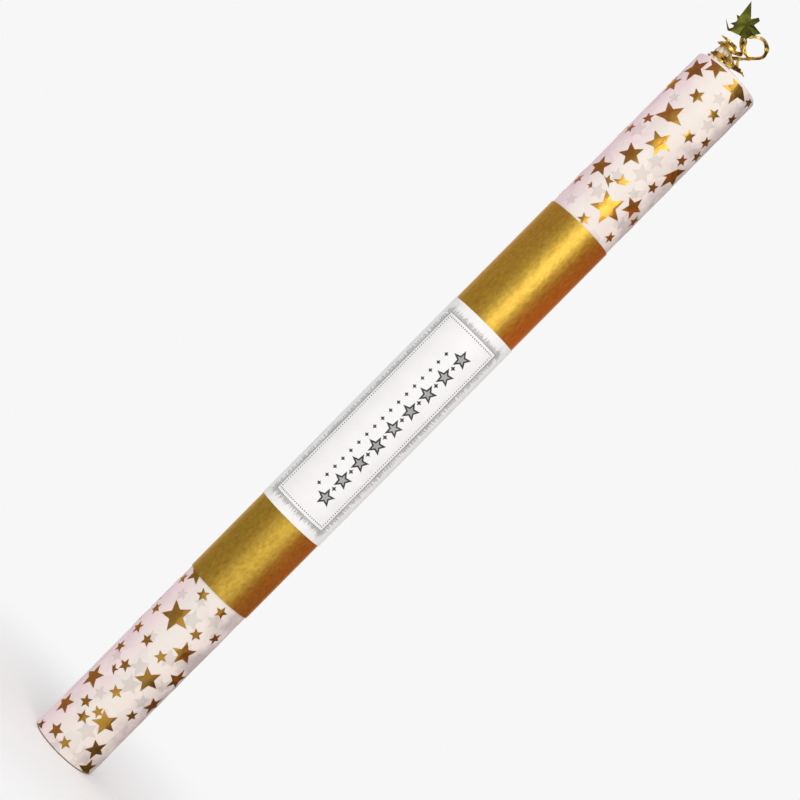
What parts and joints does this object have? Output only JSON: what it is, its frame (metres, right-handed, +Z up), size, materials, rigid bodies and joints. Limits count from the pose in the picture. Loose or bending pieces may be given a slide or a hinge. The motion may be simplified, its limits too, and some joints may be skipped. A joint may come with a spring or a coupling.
{
  "type": "sparkler gift tube",
  "caption": "Slim upright gift tube of long hand sparklers, wrapped in star tissue with a gold belly band and paper label, its end gathered and tied with a foil star garland.",
  "frame": {"origin": "centre of the tube's lower end face, on the surface that the tube stands on", "axes": "+Z up along the tube to its tied end, -Y out of the label's front, +X to the label's right as the tube stands"},
  "size_m": [0.0308, 0.0302, 0.3916],
  "materials": {
    "kraft_board": "matte",
    "star_tissue": "matte",
    "gold_paper": "satin",
    "label_paper": "matte",
    "garland_foil": "gloss",
    "sparkler_steel": "satin",
    "spark_coating": "matte"
  },
  "bodies": {
    "tube": {"card_tube": "kraft_board", "base_plug": "kraft_board", "star_tissue": "star_tissue", "gold_band": "gold_paper", "label": "label_paper"},
    "tied_top": {"tissue_top": "star_tissue", "garland_wire": "garland_foil", "garland_star_front": "garland_foil", "garland_star_back": "garland_foil"},
    "sparkler_01": {"sparkler_wire_01": "sparkler_steel", "sparkler_coat_01": "spark_coating"},
    "sparkler_02": {"sparkler_wire_02": "sparkler_steel", "sparkler_coat_02": "spark_coating"},
    "sparkler_03": {"sparkler_wire_03": "sparkler_steel", "sparkler_coat_03": "spark_coating"},
    "sparkler_04": {"sparkler_wire_04": "sparkler_steel", "sparkler_coat_04": "spark_coating"},
    "sparkler_05": {"sparkler_wire_05": "sparkler_steel", "sparkler_coat_05": "spark_coating"},
    "sparkler_06": {"sparkler_wire_06": "sparkler_steel", "sparkler_coat_06": "spark_coating"},
    "sparkler_07": {"sparkler_wire_07": "sparkler_steel", "sparkler_coat_07": "spark_coating"},
    "sparkler_08": {"sparkler_wire_08": "sparkler_steel", "sparkler_coat_08": "spark_coating"},
    "sparkler_09": {"sparkler_wire_09": "sparkler_steel", "sparkler_coat_09": "spark_coating"},
    "sparkler_10": {"sparkler_wire_10": "sparkler_steel", "sparkler_coat_10": "spark_coating"},
    "sparkler_11": {"sparkler_wire_11": "sparkler_steel", "sparkler_coat_11": "spark_coating"},
    "sparkler_12": {"sparkler_wire_12": "sparkler_steel", "sparkler_coat_12": "spark_coating"}
  },
  "joints": [
    {"name": "tied_top_lift", "type": "slide", "parent": "tube", "child": "tied_top", "axis": [0, 0, 1], "range_m": [0, 0.4]},
    {"name": "sparkler_01_draw", "type": "slide", "parent": "tube", "child": "sparkler_01", "axis": [0, 0, 1], "range_m": [0, 0.345]},
    {"name": "sparkler_02_draw", "type": "slide", "parent": "tube", "child": "sparkler_02", "axis": [0, 0, 1], "range_m": [0, 0.345]},
    {"name": "sparkler_03_draw", "type": "slide", "parent": "tube", "child": "sparkler_03", "axis": [0, 0, 1], "range_m": [0, 0.345]},
    {"name": "sparkler_04_draw", "type": "slide", "parent": "tube", "child": "sparkler_04", "axis": [0, 0, 1], "range_m": [0, 0.345]},
    {"name": "sparkler_05_draw", "type": "slide", "parent": "tube", "child": "sparkler_05", "axis": [0, 0, 1], "range_m": [0, 0.345]},
    {"name": "sparkler_06_draw", "type": "slide", "parent": "tube", "child": "sparkler_06", "axis": [0, 0, 1], "range_m": [0, 0.345]},
    {"name": "sparkler_07_draw", "type": "slide", "parent": "tube", "child": "sparkler_07", "axis": [0, 0, 1], "range_m": [0, 0.345]},
    {"name": "sparkler_08_draw", "type": "slide", "parent": "tube", "child": "sparkler_08", "axis": [0, 0, 1], "range_m": [0, 0.345]},
    {"name": "sparkler_09_draw", "type": "slide", "parent": "tube", "child": "sparkler_09", "axis": [0, 0, 1], "range_m": [0, 0.345]},
    {"name": "sparkler_10_draw", "type": "slide", "parent": "tube", "child": "sparkler_10", "axis": [0, 0, 1], "range_m": [0, 0.345]},
    {"name": "sparkler_11_draw", "type": "slide", "parent": "tube", "child": "sparkler_11", "axis": [0, 0, 1], "range_m": [0, 0.345]},
    {"name": "sparkler_12_draw", "type": "slide", "parent": "tube", "child": "sparkler_12", "axis": [0, 0, 1], "range_m": [0, 0.345]}
  ],
  "couplings": [
    {"joint": "sparkler_01_draw", "follows": "tied_top_lift", "ratio": 0.8625},
    {"joint": "sparkler_02_draw", "follows": "tied_top_lift", "ratio": 0.8625},
    {"joint": "sparkler_03_draw", "follows": "tied_top_lift", "ratio": 0.8625},
    {"joint": "sparkler_04_draw", "follows": "tied_top_lift", "ratio": 0.8625},
    {"joint": "sparkler_05_draw", "follows": "tied_top_lift", "ratio": 0.8625},
    {"joint": "sparkler_06_draw", "follows": "tied_top_lift", "ratio": 0.8625},
    {"joint": "sparkler_07_draw", "follows": "tied_top_lift", "ratio": 0.8625},
    {"joint": "sparkler_08_draw", "follows": "tied_top_lift", "ratio": 0.8625},
    {"joint": "sparkler_09_draw", "follows": "tied_top_lift", "ratio": 0.8625},
    {"joint": "sparkler_10_draw", "follows": "tied_top_lift", "ratio": 0.8625},
    {"joint": "sparkler_11_draw", "follows": "tied_top_lift", "ratio": 0.8625},
    {"joint": "sparkler_12_draw", "follows": "tied_top_lift", "ratio": 0.8625}
  ]
}
